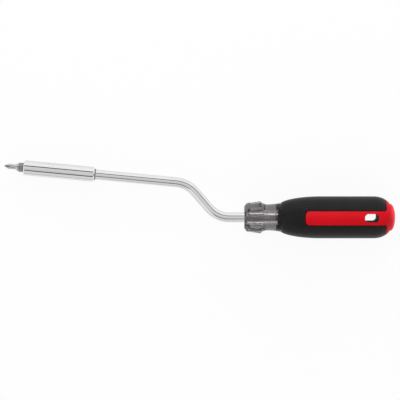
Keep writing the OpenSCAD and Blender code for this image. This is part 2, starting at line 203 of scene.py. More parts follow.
class ScrewdriverHandle(bpy.types.PropertyGroup):
    """Sizes of the handle, along its axis from the bolster's face"""

    handle_len: length("Handle length", 117.6, "Overall length of the handle")
    grip_r: length("Grip radius", 16.4, "Radius of the grip at its fullest")
    belly_x: length("Belly", 59, "Where the grip reaches its full radius")
    shoulder_len: length("Shoulder", 16.6, "Length over which the grip rounds off at the butt")
    grip_wall: length("Grip wall", 4, "Thickness of the rubber")
    grip_x: length("Grip start", 28.7, "Where the rubber begins on the neck")
    grip_front_r: length("Grip front radius", 11.3, "Radius of the neck where the rubber begins")
    tongue_len: length("Tongue length", 2.7, "Length of the rubber's tongues on the neck")
    tongue_w: length("Tongue width", 14, "Width of those tongues")
    tongue_t: length("Tongue thickness", 1.2, "Thickness of those tongues")
    tongue_corner: length("Tongue corner", 2, "Corner radius of those tongues")
    face_r: length("Bolster face", 8.7, "Radius of the bolster's front face")
    nose_r: length("Bolster nose", 11.1, "Radius behind the front chamfer")
    nose_depth: length("Bolster nose depth", 1.9, "Depth of the front chamfer")
    bolster_r: length("Bolster radius", 12.75, "Greatest radius of the bolster")
    bolster_len: length("Bolster length", 12.6, "Length to the greatest radius")
    bolster_back: length("Bolster back", 1.5, "Depth of the step behind the ribs")
    foot_r: length("Bolster foot", 11.25, "Radius at the foot of that step")
    neck_r: length("Neck radius", 10.25, "Radius of the neck at its narrowest")
    neck_x: length("Neck", 17.8, "Where the neck is narrowest")
    flute_r: length("Flute radius", 4.6, "Radius of each flute")
    flute_depth: length("Flute depth", 1.9, "Depth of each flute")
    flute_x: length("Flute start", 2.3, "Where each flute begins")
    flute_phase: angle("Flute turn", 36, "Turn of the flutes from the middle of the strip")
    strip_w: length("Strip width", 11.3, "Width of the red strips")
    strip_x: length("Strip start", 47, "Where the strips begin")
    strip_corner: length("Strip corner", 3.2, "Corner radius at the front of the strips")
    strip_drop: length("Strip drop", 0.05, "How far the strips lie below the rubber")
    groove: length("Strip groove", 0.45, "Width of the fine groove between a strip and the rubber")
    strip_fillet: length("Strip fillet", 1.2, "Fillet where each strip meets the collar")
    strip_rise: length("Strip rise", 6, "Length over which a strip rises to the collar")
    collar_len: length("Collar length", 3.4, "Length of collar that shows")
    collar_r: length("Collar radius", 10.9, "Radius of the collar's rear edge")
    tail_r: length("Tail radius", 8, "Radius of the core inside the collar")
    cap_len: length("Cap length", 4.3, "Length of the end cap")
    cap_r: length("Cap radius", 10.5, "Radius of the end cap's dome")
    groove_r: length("Groove radius", 9.9, "Radius of the groove in front of the cap")
    groove_w: length("Groove width", 0.6, "Width of that groove")
    stem_r: length("Stem radius", 5, "Radius of the cap's stem")
    stem_len: length("Stem length", 5, "Length of the cap's stem")
    slot_len: length("Slot length", 11.1, "Length of the lanyard slot")
    slot_w: length("Slot width", 6.7, "Width of the lanyard slot")
    slot_back: length("Slot place", 19.1, "From the slot's middle to the butt")
    slot_corner: length("Slot corner", 2.9, "Corner radius of the lanyard slot")


class ScrewdriverFinish(bpy.types.PropertyGroup):
    """Colours of the pieces"""

    rod_chrome: colour("Rod", 0.84, 0.84, 0.85, "Chrome of the rod")
    bare_steel: colour("Bare rod", 0.72, 0.70, 0.68, "Bare steel of the rod inside the handle")
    sleeve_chrome: colour("Sleeve", 0.86, 0.86, 0.87, "Chrome of the sleeve")
    bit_steel: colour("Bit", 0.36, 0.345, 0.335, "Blasted steel of the bit's hexagon")
    point_steel: colour("Bit point", 0.66, 0.65, 0.635, "Ground steel of the bit's point")
    clear_plastic: colour("Clear plastic", 0.95, 0.94, 0.95, "Surface of the smoke-tinted plastic")
    smoke: colour("Smoke", 0.16, 0.13, 0.15, "What a ray keeps of its colour in the smoke-tinted plastic")
    rubber: colour("Rubber", 0.0045, 0.0045, 0.0047, "Black rubber of the grip")
    red: colour("Red", 0.44, 0.001, 0.006, "Red of the strips and the collar")
    cap_red: colour("Cap", 0.70, 0.012, 0.025, "Red of the end cap")


class ScrewdriverStage(bpy.types.PropertyGroup):
    """Place of the camera over the tool"""

    distance: length("Camera distance", 1500, "From the camera to the tool")
    width: length("View width", 312, "Width of the view at the tool")
    tilt: angle("Camera tilt", 2.7, "How far the camera leans towards the crank's side")
    centre_x: length("Centre along", -34.5, "Middle of the view along the handle's axis")
    centre_y: length("Centre across", 13.52, "Middle of the view across the handle's axis")


def rod():
    return bpy.context.scene.screwdriver_rod


def sleeve():
    return bpy.context.scene.screwdriver_sleeve


def handle():
    return bpy.context.scene.screwdriver_handle


def colours():
    return bpy.context.scene.screwdriver_finish


def nose_point():
    """The sleeve's front face on the bit's axis, in the tool's axes."""
    crank = rod()
    corner_x = -crank.crank_x - crank.crank_rise / math.tan(crank.crank_angle)
    return Vector((
        corner_x - crank.nose_len * math.cos(crank.nose_slope),
        crank.crank_rise + crank.nose_len * math.sin(crank.nose_slope),
        0,
    ))


def resting():
    """How high above the handle's axis the sleeve touches the bench, and the roll that brings it there."""
    edge_y = nose_point().y - sleeve().front_chamfer * math.sin(rod().nose_slope)
    return edge_y, math.asin((handle().grip_r - sleeve().sleeve_d / 2) / edge_y)


def lay_down():
    """From the tool's axes, along the handle and across it, to the bench that the tool lies on."""
    nose = nose_point()
    grip_r, sleeve_r = handle().grip_r, sleeve().sleeve_d / 2
    edge_y, roll = resting()
    middle_x = (nose.x - rod().bit_out * math.cos(rod().nose_slope) + handle().handle_len) / 2
    middle_y = (edge_y * math.cos(roll) + sleeve_r - grip_r) / 2
    return Matrix.Translation((-middle_x, -middle_y, grip_r)) @ Matrix.Rotation(-roll, 4, "X")


def along_handle():
    """Turns what stands along Z onto the handle's axis."""
    return lay_down() @ Matrix.Rotation(math.pi / 2, 4, "Y")


def on_nose():
    """Turns what stands along Z onto the bit's axis, from the sleeve's front face backwards."""
    return (
        Matrix.Translation(nose_point())
        @ Matrix.Rotation(-rod().nose_slope, 4, "Z")
        @ Matrix.Rotation(math.pi / 2, 4, "Y")
    )


def along_nose():
    """The same once the tool lies on the bench."""
    return lay_down() @ on_nose()


def butt_places():
    """Where the grip starts to round off, where its rubber ends and where the collar ends."""
    grip = handle()
    collar_end = grip.handle_len - grip.cap_len
    return grip.handle_len - grip.shoulder_len, collar_end - grip.collar_len, collar_end


def skin(x):
    """Radius of the handle's outline at a place along its axis."""
    grip = handle()
    shoulder, _, collar_end = butt_places()

    def bow(end_x, end_r):
        return grip.neck_r + (end_r - grip.neck_r) * ((x - grip.neck_x) / (end_x - grip.neck_x)) ** 2

    if x < grip.neck_x:
        return bow(grip.bolster_len + grip.bolster_back, grip.foot_r)
    if x < grip.grip_x:
        return bow(grip.grip_x, grip.grip_front_r)
    if x < grip.belly_x:
        share = (grip.belly_x - x) / (grip.belly_x - grip.grip_x)
        return grip.grip_front_r + (grip.grip_r - grip.grip_front_r) * (1 - share**2) ** FRONT_POWER
    if x < shoulder:
        return grip.grip_r
    share = (min(x, collar_end) - shoulder) / (collar_end - shoulder)
    return grip.collar_r + (grip.grip_r - grip.collar_r) * (1 - share**2) ** BUTT_POWER


def places(start, end, steps):
    """Evenly spaced places from start to end."""
    return [start + (end - start) * i / steps for i in range(steps + 1)]


def object_of(name, bm, matrix):
    """Makes a mesh object of a bmesh, with its place in its mesh."""
    bmesh.ops.transform(bm, matrix=matrix, verts=bm.verts)
    mesh = bpy.data.meshes.new(name)
    bm.to_mesh(mesh)
    bm.free()
    made = bpy.data.objects.new(name, mesh)
    bpy.context.scene.collection.objects.link(made)
    return made


def lathe(name, outline, matrix, steps):
    """Spins an outline of (radius, place) pairs about Z, and closes one that doesn't end on the axis."""
    bm = bmesh.new()
    verts = [bm.verts.new((radius, 0, place)) for radius, place in outline]
    pairs = list(zip(verts, verts[1:]))
    if outline[0][0] or outline[-1][0]:
        pairs.append((verts[-1], verts[0]))
    edges = [bm.edges.new(pair) for pair in pairs]
    bmesh.ops.spin(
        bm, geom=verts + edges, cent=(0, 0, 0), axis=(0, 0, 1), angle=2 * math.pi,
        steps=steps, use_merge=True, use_duplicate=False,
    )
    bmesh.ops.remove_doubles(bm, verts=bm.verts, dist=SPIN_MERGE)
    bmesh.ops.recalc_face_normals(bm, faces=bm.faces)
    return object_of(name, bm, matrix)


def prism(name, plan, rounds):
    """Runs a plan drawn on the handle's upper face right through it. rounds gives corners their radius."""
    deep = handle().grip_r + 2 * PAST
    bm = bmesh.new()
    corners = [bm.verts.new((x, y, -deep)) for x, y in plan]
    bm.faces.new(corners)
    for corner, radius in rounds:
        bmesh.ops.bevel(
            bm, geom=[corners[corner]], offset=radius, affect="VERTICES", segments=CORNER_STEPS,
            profile=0.5, material=-1, offset_type="OFFSET",
        )
    made = bmesh.ops.extrude_face_region(bm, geom=list(bm.faces))
    raised = [item for item in made["geom"] if isinstance(item, bmesh.types.BMVert)]
    bmesh.ops.translate(bm, vec=(0, 0, 2 * deep), verts=raised)
    bmesh.ops.recalc_face_normals(bm, faces=bm.faces)
    return object_of(name, bm, lay_down())


def apply_modifiers(piece):
    """Puts the result of a piece's modifiers in its mesh."""
    depsgraph = bpy.context.evaluated_depsgraph_get()
    mesh = bpy.data.meshes.new_from_object(piece.evaluated_get(depsgraph))
    piece.modifiers.clear()
    old = piece.data
    piece.data = mesh
    bpy.data.meshes.remove(old)


def carve(piece, tools, operation="DIFFERENCE"):
    """Cuts, joins or keeps what tools share with a piece, and deletes the tools."""
    for tool in tools:
        cut = piece.modifiers.new("carve", "BOOLEAN")
        cut.operation = operation
        cut.solver = "EXACT"
        cut.object = tool
    bpy.context.view_layer.update()
    apply_modifiers(piece)
    for tool in tools:
        bpy.data.objects.remove(tool)
    bm = bmesh.new()
    bm.from_mesh(piece.data)
    bmesh.ops.remove_doubles(bm, verts=bm.verts, dist=CUT_MERGE)
    bmesh.ops.dissolve_degenerate(bm, dist=CUT_MERGE, edges=bm.edges)
    bm.to_mesh(piece.data)
    bm.free()


def shade(piece):
    """Shades a piece smooth, apart from its sharp edges."""
    piece.data.shade_smooth()
    piece.data.set_sharp_from_angle(angle=math.radians(SHARP_ANGLE))


def soften(piece, width, segments, limit):
    """Rounds the edges of a piece that turn by more degrees than the limit, and shades it."""
    bevel = piece.modifiers.new("soften", "BEVEL")
    bevel.width = width
    bevel.segments = segments
    bevel.limit_method = "ANGLE"
    bevel.angle_limit = math.radians(limit)
    bevel.miter_outer = "MITER_ARC"
    apply_modifiers(piece)
    shade(piece)


def fit(piece, body, material, node):
    """Puts a finished piece on its body and in the place of its CAD node."""
    if not piece.data.polygons:
        raise RuntimeError(f"{piece.name} has no faces")
    piece.data.materials.clear()
    piece.data.materials.append(material)
    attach(piece, body)
    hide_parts(node)


def empty_tree(owner):
    """The node tree of a material or a world, with nothing in it yet."""
    owner.use_nodes = True
    owner.node_tree.nodes.clear()
    return owner.node_tree


def add_node(tree, kind, inputs=(), **settings):
    """Adds a shader node, and gives its inputs a constant each or the output of another node."""
    made = tree.nodes.new("ShaderNode" + kind)
    for name, value in settings.items():
        setattr(made, name, value)
    for socket, value in dict(inputs).items():
        if isinstance(value, bpy.types.NodeSocket):
            tree.links.new(value, made.inputs[socket])
        else:
            made.inputs[socket].default_value = value
    return made


class Finish:
    """A material round one Principled shader, with its pattern in the piece's own coordinates."""

    def __init__(self, name, **constants):
        self.material = bpy.data.materials.get(name) or bpy.data.materials.new(name)
        self.tree = empty_tree(self.material)
        sockets = {socket.replace("_", " "): value for socket, value in constants.items()}
        self.shader = self.node("BsdfPrincipled", sockets)
        self.output = self.node("OutputMaterial", {"Surface": self.shader.outputs["BSDF"]})
        self.place = self.node("TexCoord").outputs["Object"]

    def node(self, kind, inputs=(), **settings):
        return add_node(self.tree, kind, inputs, **settings)

    def link(self, value, socket):
        self.tree.links.new(value, self.shader.inputs[socket])

    def math(self, operation, *values):
        return self.node("Math", enumerate(values), operation=operation).outputs["Value"]

    def mixed(self, kind, factor, first, second):
        inputs = {"Factor": factor, "A": first, "B": second}
        return self.node("Mix", inputs, data_type=kind).outputs["Result"]

    def ranged(self, value, start, end, low=0.0, high=1.0):
        """Maps what lies between start and end to low and high, and stops there."""
        inputs = {"Value": value, "From Min": start, "From Max": end, "To Min": low, "To Max": high}
        return self.node("MapRange", inputs).outputs["Result"]

    def noise(self, scale, detail, squeeze=(1, 1, 1)):
        """Noise that may be squeezed across the tool, or drawn out along it."""
        squeezed = self.node("Mapping", {"Vector": self.place, "Scale": squeeze}).outputs["Vector"]
        inputs = {"Vector": squeezed, "Scale": scale, "Detail": detail, "Roughness": 0.6}
        return self.node("TexNoise", inputs).outputs["Fac"]

    def toned(self, value, base, dark, light):
        """A colour that a noise shades between two shares of its brightness."""
        ramp = self.node("ValToRGB", {"Fac": value})
        for element, place, share in zip(ramp.color_ramp.elements, NOISE_SPAN, (dark, light)):
            element.position = place
            element.color = (*(min(1.0, part * share) for part in base), 1)
        return ramp.outputs["Color"]

    def tone(self, value, base, dark, light):
        self.link(self.toned(value, base, dark, light), "Base Color")

    def rough(self, value, low, high):
        self.link(self.ranged(value, *NOISE_SPAN, low, high), "Roughness")

    def bump(self, value, depth, strength):
        inputs = {"Height": value, "Distance": depth, "Strength": strength}
        self.link(self.node("Bump", inputs).outputs["Normal"], "Normal")

    def cover(self, socket, kind, factor, value):
        """Lets a constant take over from a socket's pattern where the factor is 1."""
        pattern = self.shader.inputs[socket].links[0].from_socket
        self.link(self.mixed(kind, factor, pattern, value), socket)


def chrome_finish(name, base):
    """Bright chrome with faint drawing marks along the tool and a little haze."""
    made = Finish(name, Metallic=1.0)
    drawn = made.noise(scale=60, detail=3, squeeze=(1.5, 30, 30))
    made.tone(made.noise(scale=25, detail=2), base, dark=0.97, light=1.03)
    made.rough(drawn, low=0.05, high=0.09)
    made.bump(drawn, depth=0.002 * MM, strength=0.5)
    return made


def rod_finish():
    """Chrome in the open, and dull bare steel where the rod is moulded into the handle."""
    made = chrome_finish("rod_chrome", colours().rod_chrome)
    start = lay_down().translation.x
    along = made.node("SeparateXYZ", {"Vector": made.place}).outputs["X"]
    inside = made.ranged(along, start, start + PLATING_FADE)
    dull = 0.38
    made.cover("Base Color", "RGBA", inside, (*colours().bare_steel, 1))
    made.cover("Roughness", "FLOAT", inside, dull)
    return made.material


def metal_finish(name, base, low, high, grain_scale):
    """Plain metal, finely blasted."""
    made = Finish(name, Metallic=1.0)
    grain = made.noise(scale=grain_scale, detail=4)
    made.tone(grain, base, dark=0.86, light=1.12)
    made.rough(grain, low, high)
    made.bump(grain, depth=0.01 * MM, strength=0.5)
    return made.material


def bit_finish():
    """Blasted steel on the bit's hexagon, ground steel on its point, and painted shade in the valleys of its
    point.
    """
    crank = rod()
    made = Finish("bit_steel", Metallic=1.0)
    grain = made.noise(scale=900, detail=4)

    def steel(base, share=1.0):
        return made.toned(grain, base, dark=0.88 * share, light=1.1 * share)

    to_bit = along_nose().inverted()
    placing = {"Vector": made.place, "Location": to_bit.translation, "Rotation": to_bit.to_euler()}
    on_bit = made.node("Mapping", placing).outputs["Vector"]
    split = made.node("SeparateXYZ", {"Vector": on_bit}).outputs
    along = split["Z"]
    x_squared, y_squared = (made.math("MULTIPLY", split[axis], split[axis]) for axis in "XY")
    off_axis = made.math("SQRT", made.math("ADD", x_squared, y_squared))

    # The wings reach further out behind the tip, up to their own radius
    flare = 0.5
    tip_reach = crank.bit_out * flare + crank.point_r
    reach = made.math("MINIMUM", made.math("MULTIPLY_ADD", along, flare, tip_reach), crank.wings_r)
    # Painted shade: towards the roots of the point's valleys the ground steel darkens to a small share of its
    # brightness
    root, crest, valley_shade_share = 0.48, 0.88, 0.14
    out_of_painted_shade = made.ranged(made.math("DIVIDE", off_axis, reach), root, crest)
    ground_steel = colours().point_steel
    point = made.mixed("RGBA", out_of_painted_shade, steel(ground_steel, valley_shade_share), steel(ground_steel))

    # The blasted hexagon gives way to the ground point over the rear of the cone
    hex_front = crank.point_len + crank.cone_len - crank.bit_out
    ground_from = hex_front - 0.6 * crank.cone_len
    on_point = made.ranged(along, hex_front, ground_from)
    made.link(made.mixed("RGBA", on_point, steel(colours().bit_steel), point), "Base Color")
    blasted, uneven, polish = 0.42, 0.1, 0.39
    rough = made.math("MULTIPLY_ADD", grain, uneven, blasted)
    made.link(made.math("MULTIPLY_ADD", on_point, -polish, rough), "Roughness")
    made.bump(grain, depth=0.008 * MM, strength=0.4)
    return made.material


def rubber_finish(name, specular, sheen):
    """Matt black rubber with the fine grain of its mould."""
    made = Finish(name, Specular_IOR_Level=specular, Sheen_Weight=sheen, Sheen_Roughness=0.35)
    grain = made.noise(scale=2600, detail=3)
    made.tone(made.noise(scale=70, detail=3), colours().rubber, dark=0.85, light=1.2)
    made.rough(grain, low=0.40, high=0.52)
    made.bump(grain, depth=0.012 * MM, strength=0.6)
    return made.material


def red_finish(name, base, specular, high):
    """Hard red plastic with a fine satin texture."""
    made = Finish(name, Specular_IOR_Level=specular)
    grain = made.noise(scale=1800, detail=3)
    made.tone(made.noise(scale=45, detail=2), base, dark=0.96, light=1.04)
    made.rough(grain, low=0.34, high=high)
    made.bump(grain, depth=0.006 * MM, strength=0.5)
    return made.material


def clear_finish():
    """Smoke-tinted clear plastic: the tint is in its depth, so a thick stretch is darker."""
    surface = (*colours().clear_plastic, 1)
    made = Finish("smoke_clear_plastic", Transmission_Weight=1.0, IOR=1.46, Base_Color=surface)
    flow = made.noise(scale=300, detail=3, squeeze=(0.4, 1, 1))
    made.rough(flow, low=0.0, high=0.03)
    made.bump(flow, depth=0.004 * MM, strength=0.2)
    tint = made.node("VolumeAbsorption", {"Color": (*colours().smoke, 1), "Density": 90})
    made.tree.links.new(tint.outputs["Volume"], made.output.inputs["Volume"])
    return made.material


class MESH_OT_screwdriver_rod(bpy.types.Operator):
    """Bend the cranked rod from one circle, from the bit holder to its wings in the handle"""

    bl_idname = "mesh.screwdriver_rod"
    bl_label = "Cranked rod"

    def execute(self, context):
        crank = rod()
        rod_r, spigot_r = crank.rod_d / 2, crank.spigot_d / 2
        lower_tangent = crank.lower_bend_r * math.tan(crank.crank_angle / 2)
        upper_turn = crank.crank_angle - crank.nose_slope
        upper_tangent = crank.upper_bend_r * math.tan(upper_turn / 2)
        leg = crank.crank_rise / math.sin(crank.crank_angle) - lower_tangent - upper_tangent
        nose = Vector((math.cos(crank.nose_slope), -math.sin(crank.nose_slope), 0))
        down = Vector((math.cos(crank.crank_angle), -math.sin(crank.crank_angle), 0))
        bm = bmesh.new()

        def rim(ring):
            return [edge for edge in bm.edges if all(vert in ring for vert in edge.verts)]

        def step(ring, forward, scale=1.0):
            """Draws the rod on along the way it points, or steps its radius."""
            grown = bmesh.ops.extrude_edge_only(bm, edges=rim(ring))["geom"]
            new = [item for item in grown if isinstance(item, bmesh.types.BMVert)]
            middle = sum((vert.co for vert in new), Vector()) / len(new)
            if scale != 1.0:
                bmesh.ops.scale(bm, vec=(scale,) * 3, verts=new, space=Matrix.Translation(-middle))
            bmesh.ops.translate(bm, vec=forward, verts=new)
            return set(new)

        def bend(ring, centre, turn):
            """Spins the rod's end round a bend's centre, in the plane of the bends."""
            spun = bmesh.ops.spin(
                bm, geom=list(ring) + rim(ring), cent=centre, axis=(0, 0, 1), angle=turn,
                steps=BEND_STEPS, use_merge=False, use_duplicate=False,
            )["geom_last"]
            return {item for item in spun if isinstance(item, bmesh.types.BMVert)}

        ring = bmesh.ops.create_circle(bm, cap_ends=True, segments=ROD_STEPS, radius=spigot_r)["verts"]
        bmesh.ops.translate(bm, vec=(0, 0, crank.holder_end - crank.spigot_len), verts=ring)
        bmesh.ops.transform(bm, matrix=on_nose(), verts=ring)
        ring = step(set(ring), nose * crank.spigot_len)
        ring = step(ring, nose * 0, rod_r / spigot_r)
        top = nose_point() + nose * (crank.nose_len - upper_tangent)
        ring = step(ring, top - (nose_point() + nose * crank.holder_end))
        ring = bend(ring, top + Vector((-nose.y, nose.x, 0)) * -crank.upper_bend_r, -upper_turn)
        ring = step(ring, down * leg)
        foot = Vector((-crank.crank_x, 0, 0)) - down * lower_tangent
        ring = bend(ring, foot + Vector((-down.y, down.x, 0)) * crank.lower_bend_r, crank.crank_angle)
        ring = step(ring, Vector((crank.root_len + crank.crank_x - lower_tangent, 0, 0)))
        bmesh.ops.contextual_create(bm, geom=rim(ring))
        bmesh.ops.remove_doubles(bm, verts=bm.verts, dist=SPIN_MERGE)
        bmesh.ops.recalc_face_normals(bm, faces=bm.faces)
        made = object_of("crank_rod", bm, lay_down())
        wings = bmesh.new()
        block = bmesh.ops.create_cube(wings, size=1)["verts"]
        bmesh.ops.scale(wings, vec=(crank.wing_len, crank.wing_span, crank.wing_t), verts=block)
        bmesh.ops.translate(wings, vec=(crank.root_len - crank.wing_len, 0, 0), verts=block)
        carve(made, [object_of("wings", wings, lay_down())], "UNION")
        shade(made)
        fit(made, "driver", rod_finish(), "shank")
        return {"FINISHED"}


class MESH_OT_screwdriver_sleeve(bpy.types.Operator):
    """Spin the chromed tube that turns round the rod"""

    bl_idname = "mesh.screwdriver_sleeve"
    bl_label = "Guide sleeve"

    def execute(self, context):
        tube = sleeve()
        outer, end, lip = tube.sleeve_d / 2, tube.sleeve_len, tube.lip_bore_r
        bore, lip_front = outer - tube.sleeve_wall, end - tube.lip_len
        outline = [
            (bore, 0), (outer - tube.front_chamfer, 0), (outer, tube.front_chamfer),
            (outer, end - tube.lip_bevel), (lip + tube.lip_edge, end), (lip, end),
            (lip, lip_front), (bore, lip_front),
        ]
        made = lathe("guide_tube", outline, along_nose(), TURNED_STEPS)
        soften(made, width=0.12 * MM, segments=3, limit=25)
        chrome = chrome_finish("sleeve_chrome", colours().sleeve_chrome).material
        fit(made, "sleeve", chrome, "guide_sleeve")
        return {"FINISHED"}


class MESH_OT_screwdriver_core(bpy.types.Operator):
    """Mould the clear core with its fluted bolster, its neck, the rod's bore and the lanyard slot"""

    bl_idname = "mesh.screwdriver_core"
    bl_label = "Clear core"

    def execute(self, context):
        grip = handle()
        shoulder, _, collar_end = butt_places()
        tail_x = collar_end - TAIL
        outline = [
            (0, 0), (grip.face_r, 0), (grip.nose_r, grip.nose_depth), (grip.bolster_r, grip.bolster_len),
        ]
        neck = places(grip.bolster_len + grip.bolster_back, grip.neck_x, steps=8)
        neck += places(grip.neck_x, grip.grip_x, steps=12)[1:]
        outline += [(skin(x), x) for x in neck]
        under = places(grip.grip_x + SUNK, grip.belly_x, steps=24) + places(shoulder, tail_x, steps=12)
        outline += [(skin(x) - grip.grip_wall + SUNK, x) for x in under]
        outline += [(grip.tail_r, tail_x), (grip.tail_r, collar_end), (0, collar_end)]
        made = lathe("clear_core", outline, along_handle(), MOULDING_STEPS)
        carve(made, [flute(number) for number in range(FLUTES)])
        bore = self.drill("bore", -PAST, rod().root_len + GAP, rod().rod_d / 2 + GAP)
        stem = self.drill("stem_hole", collar_end - grip.stem_len, collar_end + PAST, grip.stem_r)
        carve(made, [bore, stem])
        # Cut in the same step as those two, the slot may come out without its walls
        carve(made, [slot_tool()])
        soften(made, width=0.25 * MM, segments=2, limit=30)
        fit(made, "driver", clear_finish(), "handle_core")
        self.paint_slot_shade(made)
        return {"FINISHED"}

    @staticmethod
    def drill(name, start, end, radius):
        """A cutter for a round hole on the handle's axis."""
        outline = [(0, start), (radius, start), (radius, end), (0, end)]
        return lathe(name, outline, along_handle(), BORE_STEPS)

    @staticmethod
    def paint_slot_shade(made):
        """Gives the slot's walls through the core a black rubber lining, duller than the grip's rubber so
        that it paints the slot's shade.
        """
        grip = handle()
        # Painted shade: near-black rubber with almost no gloss and no sheen on the slot's walls
        made.data.materials.append(rubber_finish("slot_rubber_painted_shade", specular=0.01, sheen=0.0))
        middle = grip.handle_len - grip.slot_back
        margin, skin_margin = 0.3 * MM, 0.1 * MM
        to_tool = lay_down().inverted()
        for face in made.data.polygons:
            x, y, z = to_tool @ face.center
            in_length = abs(x - middle) < grip.slot_len / 2 + margin
            in_width = abs(y) < grip.slot_w / 2 + margin
            in_depth = abs(z) < grip.grip_r - grip.grip_wall - skin_margin
            if in_length and in_width and in_depth:
                face.material_index = 1


def flute(number):
    """A round-nosed cutter for one flute, sloped as the ribs are."""
    grip = handle()
    radius = grip.flute_r
    slope = math.atan((grip.bolster_r - grip.nose_r) / (grip.bolster_len - grip.nose_depth))
    nose_in = math.sqrt(radius**2 - (radius - grip.flute_depth) ** 2)
    outline = [(radius * math.sin(a), -radius * math.cos(a)) for a in places(0, math.pi / 2, steps=16)]
    outline += [(radius, FLUTE_REACH), (0, FLUTE_REACH)]
    place = (grip.flute_x + nose_in, 0, grip.nose_r - grip.flute_depth + radius)
    matrix = (
        lay_down()
        @ Matrix.Rotation(grip.flute_phase + number * 2 * math.pi / FLUTES, 4, "X")
        @ Matrix.Translation(place)
        @ Matrix.Rotation(math.pi / 2 - slope, 4, "Y")
    )
    return lathe("flute", outline, matrix, FLUTE_STEPS)


def slot_tool():
    """The cutter of the lanyard slot."""
    grip = handle()
    middle = grip.handle_len - grip.slot_back
    x, y = grip.slot_len / 2, grip.slot_w / 2
    plan = [(middle - x, -y), (middle + x, -y), (middle + x, y), (middle - x, y)]
    return prism("slot", plan, [(corner, grip.slot_corner) for corner in range(4)])


def strip_tool(spread):
    """The plan of a strip that runs into the collar with a fillet on each side, spread by half a groove."""
    grip = handle()
    _, grip_end, _ = butt_places()
    y, wide, past = grip.strip_w / 2 + spread, 2 * grip.grip_r, grip.handle_len + 10 * PAST
    front, back = grip.strip_x - spread, grip_end - spread
    plan = [
        (front, -y), (back, -y), (back, -wide), (past, -wide),
        (past, wide), (back, wide), (back, y), (front, y),
    ]
    corner, fillet = grip.strip_corner + spread, grip.strip_fillet - spread
    return prism("strip_plan", plan, [(0, corner), (7, corner), (1, fillet), (6, fillet)])


class MESH_OT_screwdriver_grip(bpy.types.Operator):
    """Mould the black rubber, with its tongues on the neck and its channels for the strips"""

    bl_idname = "mesh.screwdriver_grip"
    bl_label = "Rubber grip"

    def execute(self, context):
        grip = handle()
        shoulder, grip_end, _ = butt_places()
        front, back = grip.grip_x - grip.tongue_len, grip.grip_x
        tongue = places(front, back, steps=6)
        body = places(back, grip.belly_x, steps=36) + places(grip.belly_x, shoulder, steps=8)[1:-1]
        body += places(shoulder, grip_end, steps=24)
        body.append(grip_end + OVERRUN)
        outline = [(skin(x) + SUNK, x) for x in tongue[:-1]] + [(skin(x), x) for x in body]
        outline += [(skin(x) - grip.grip_wall, x) for x in reversed(body)]
        outline += [(skin(x) - grip.tongue_t, x) for x in reversed(tongue)]
        made = lathe("rubber_grip", outline, along_handle(), MOULDING_STEPS)
        y, wide = grip.tongue_w / 2, 2 * grip.grip_r
        plan = [
            (0, -wide), (back, -wide), (back, -y), (front, -y),
            (front, y), (back, y), (back, wide), (0, wide),
        ]
        carve(made, [prism("ahead", plan, [(3, grip.tongue_corner), (4, grip.tongue_corner)])])
        carve(made, [strip_tool(grip.groove / 2)])
        soften(made, width=0.25 * MM, segments=3, limit=40)
        rubber = rubber_finish("black_rubber_moulded", specular=0.2, sheen=0.1)
        fit(made, "driver", rubber, "soft_grip")
        return {"FINISHED"}


class MESH_OT_screwdriver_strips(bpy.types.Operator):
    """Mould the two red strips and the collar that joins them"""

    bl_idname = "mesh.screwdriver_strips"
    bl_label = "Strips and collar"

    def execute(self, context):
        grip = handle()
        shoulder, grip_end, collar_end = butt_places()
        body = places(grip.strip_x - PAST, grip.belly_x, steps=12)
        body += places(grip.belly_x, shoulder, steps=8)[1:-1]
        body += places(shoulder, grip_end, steps=24) + places(grip_end, collar_end, steps=8)[1:]

        def drop(x):
            """How far the strips lie below the rubber there; the collar lies flush."""
            return grip.strip_drop * max(0, min(1, (grip_end - x) / grip.strip_rise))

        outline = [(skin(x) - drop(x), x) for x in body]
        outline += [(grip.tail_r, collar_end), (grip.tail_r, grip_end)]
        outline += [(skin(x) - grip.grip_wall, x) for x in reversed(body) if x < grip_end]
        made = lathe("red_strips", outline, along_handle(), MOULDING_STEPS)
        carve(made, [strip_tool(-grip.groove / 2)], "INTERSECT")
        carve(made, [slot_tool()])
        soften(made, width=0.3 * MM, segments=3, limit=40)
        red = red_finish("strip_red", colours().red, specular=0.12, high=0.44)
        fit(made, "driver", red, "strips_and_collar")
        return {"FINISHED"}


class MESH_OT_screwdriver_cap(bpy.types.Operator):
    """Mould the domed cap that closes the butt"""

    bl_idname = "mesh.screwdriver_cap"
    bl_label = "End cap"

    def execute(self, context):
        grip = handle()
        _, _, collar_end = butt_places()
        stem_end = collar_end - grip.stem_len
        dome_x = collar_end + grip.groove_w
        dome_len = grip.cap_len - grip.groove_w
        outline = [
            (0, stem_end), (grip.stem_r, stem_end), (grip.stem_r, collar_end),
            (grip.groove_r, collar_end), (grip.groove_r, dome_x),
        ]
        dome = places(0, math.pi / 2, steps=32)[:-1]
        outline += [(grip.cap_r * math.cos(a), dome_x + dome_len * math.sin(a)) for a in dome]
        outline.append((0, grip.handle_len))
        made = lathe("butt_cap", outline, along_handle(), TURNED_STEPS)
        soften(made, width=0.15 * MM, segments=2, limit=50)
        red = red_finish("cap_red", colours().cap_red, specular=0.2, high=0.46)
        fit(made, "driver", red, "end_cap")
        return {"FINISHED"}


class MESH_OT_screwdriver_steel(bpy.types.Operator):
    """Finish the small steel and bronze pieces that keep their CAD shape"""

    bl_idname = "mesh.screwdriver_steel"
    bl_label = "Bit and inner pieces"

    def execute(self, context):
        finishes = {"bit": bit_finish()}
        for node, look in SMALL_METALS.items():
            finishes[node] = metal_finish(*look)
        for node, material in finishes.items():
            materials = frame["nodes"][node].data.materials
            materials.clear()
            materials.append(material)
        return {"FINISHED"}


